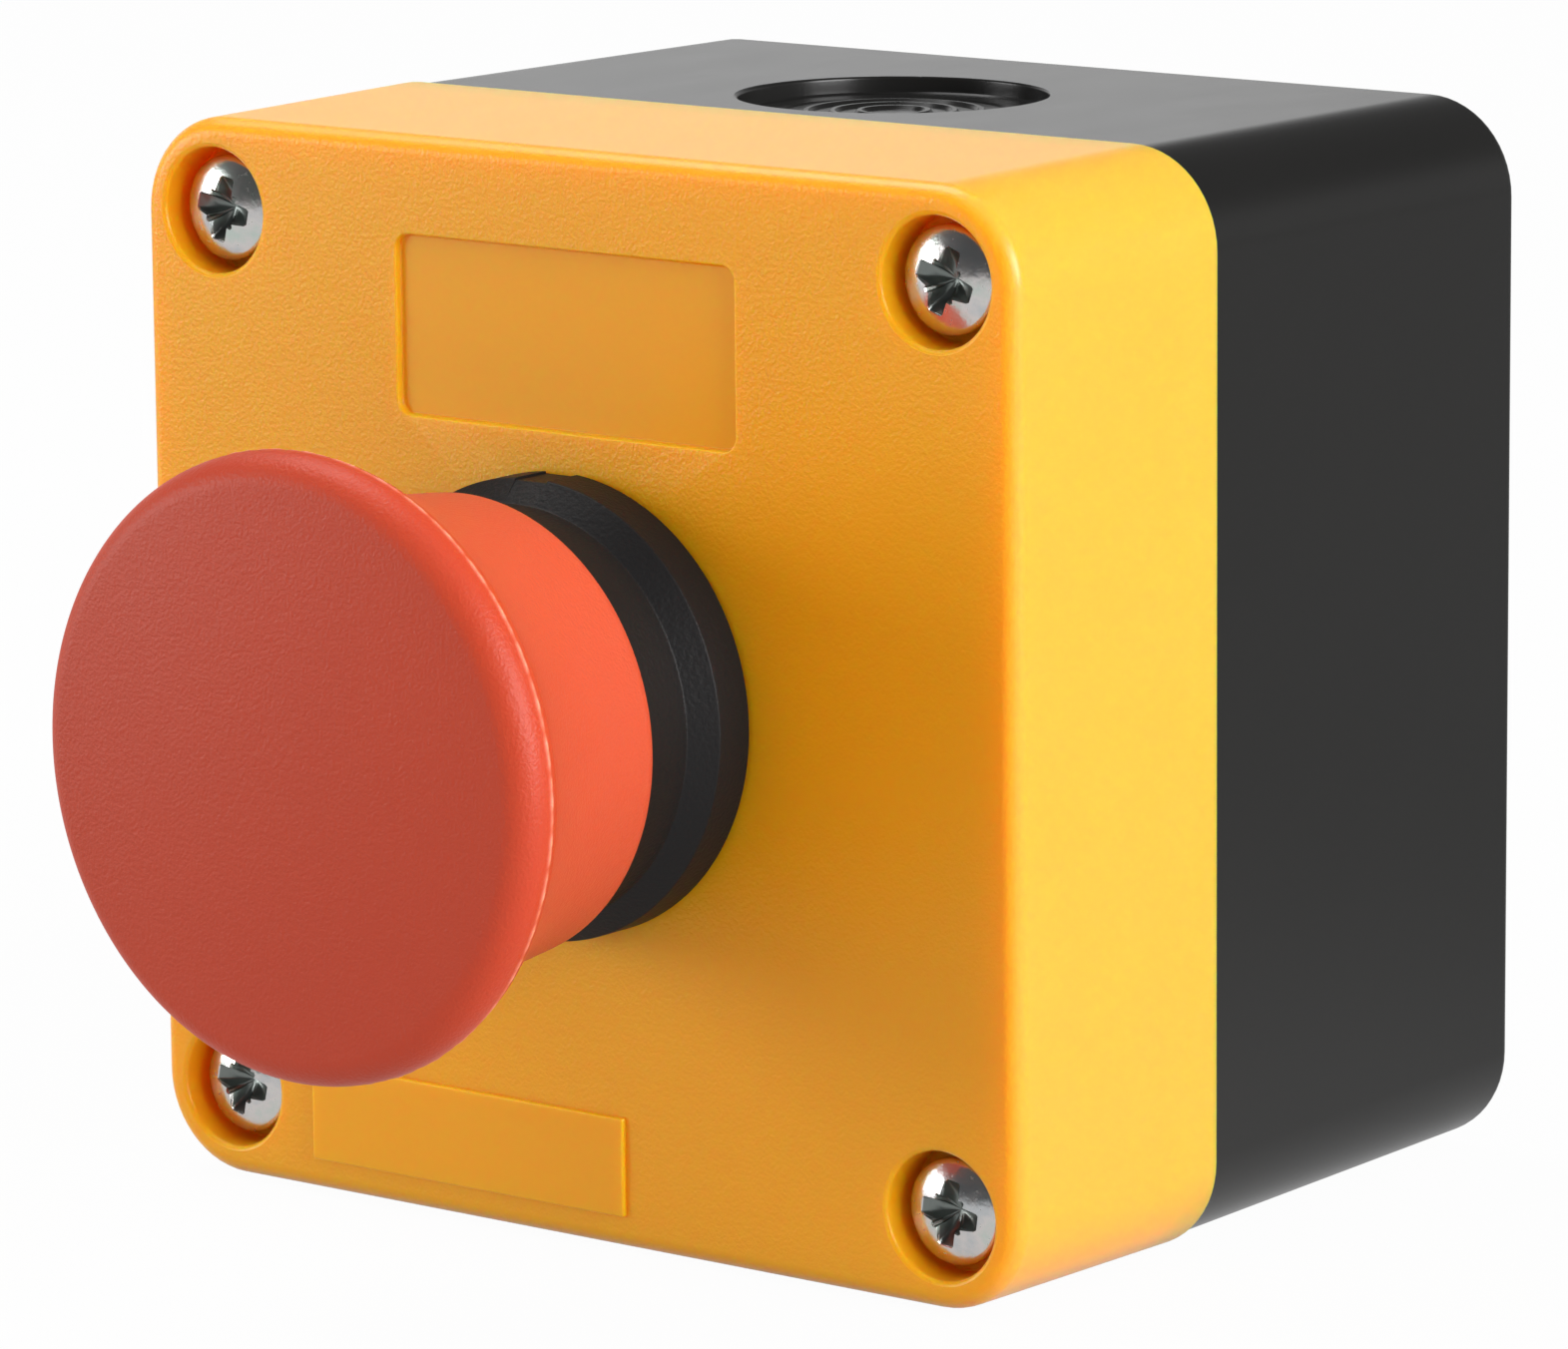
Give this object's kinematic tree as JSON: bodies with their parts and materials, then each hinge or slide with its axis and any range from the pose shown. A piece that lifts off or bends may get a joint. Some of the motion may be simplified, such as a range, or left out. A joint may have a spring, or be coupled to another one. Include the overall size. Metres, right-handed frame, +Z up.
{
  "type": "one-hole control station with mushroom push button",
  "caption": "Surface-mounted control station: yellow cover on a black base with a red mushroom push button that returns by itself and works contact blocks inside.",
  "frame": {"origin": "centre of the base's back face, which lies on the wall", "axes": "-Y is the way the front looks, +Z up, +X to the right as seen from the front"},
  "size_m": [0.0722, 0.0861, 0.0722],
  "materials": {
    "yellow_moulding": "fine texture",
    "black_moulding": "fine texture",
    "red_moulding": "satin",
    "bezel_moulding": "satin",
    "zinc_plate": "bright zinc plate",
    "spring_steel": "drawn wire",
    "brass": "stamped brass",
    "seal_rubber": "matt",
    "grey_nylon": "satin",
    "block_moulding": "satin",
    "green_plunger": "satin",
    "scarlet_plunger": "satin"
  },
  "bodies": {
    "housing": {"base_housing": "black_moulding", "front_cover": "yellow_moulding", "cover_gasket": "seal_rubber", "cover_screw_top_left": "zinc_plate", "cover_screw_top_right": "zinc_plate", "cover_screw_bottom_left": "zinc_plate", "cover_screw_bottom_right": "zinc_plate", "bezel_body": "bezel_moulding", "panel_gasket": "seal_rubber", "stem_seal": "seal_rubber", "spring_retainer": "spring_steel", "return_spring": "spring_steel", "fixing_nut": "bezel_moulding", "contact_mount": "grey_nylon", "locking_lever": "grey_nylon", "nc_block_housing": "block_moulding", "nc_side_cover": "block_moulding", "nc_spring": "spring_steel", "nc_fixed_contact_upper": "brass", "nc_clamp_upper": "zinc_plate", "nc_terminal_screw_upper": "zinc_plate", "nc_fixed_contact_lower": "brass", "nc_clamp_lower": "zinc_plate", "nc_terminal_screw_lower": "zinc_plate", "no_block_housing": "block_moulding", "no_side_cover": "block_moulding", "no_spring": "spring_steel", "no_fixed_contact_upper": "brass", "no_clamp_upper": "zinc_plate", "no_terminal_screw_upper": "zinc_plate", "no_fixed_contact_lower": "brass", "no_clamp_lower": "zinc_plate", "no_terminal_screw_lower": "zinc_plate"},
    "button": {"mushroom_head": "red_moulding", "plunger_stem": "grey_nylon"},
    "nc_carrier": {"nc_plunger": "scarlet_plunger", "nc_bridge": "brass"},
    "no_carrier": {"no_plunger": "green_plunger", "no_bridge": "brass"}
  },
  "joints": [
    {"name": "button_press", "type": "slide", "parent": "housing", "child": "button", "axis": [0, 1, 0], "range_m": [0, 0.005], "stiffness_N_per_m": 2500, "springref_m": -0.004, "deforming": ["return_spring"]},
    {"name": "nc_carrier_slide", "type": "slide", "parent": "housing", "child": "nc_carrier", "axis": [0, 1, 0], "range_m": [0, 0.005], "deforming": ["nc_spring"]},
    {"name": "no_carrier_slide", "type": "slide", "parent": "housing", "child": "no_carrier", "axis": [0, 1, 0], "range_m": [0, 0.005], "deforming": ["no_spring"]}
  ],
  "couplings": [
    {"joint": "nc_carrier_slide", "follows": "button_press", "ratio": 1},
    {"joint": "no_carrier_slide", "follows": "button_press", "ratio": 1}
  ]
}
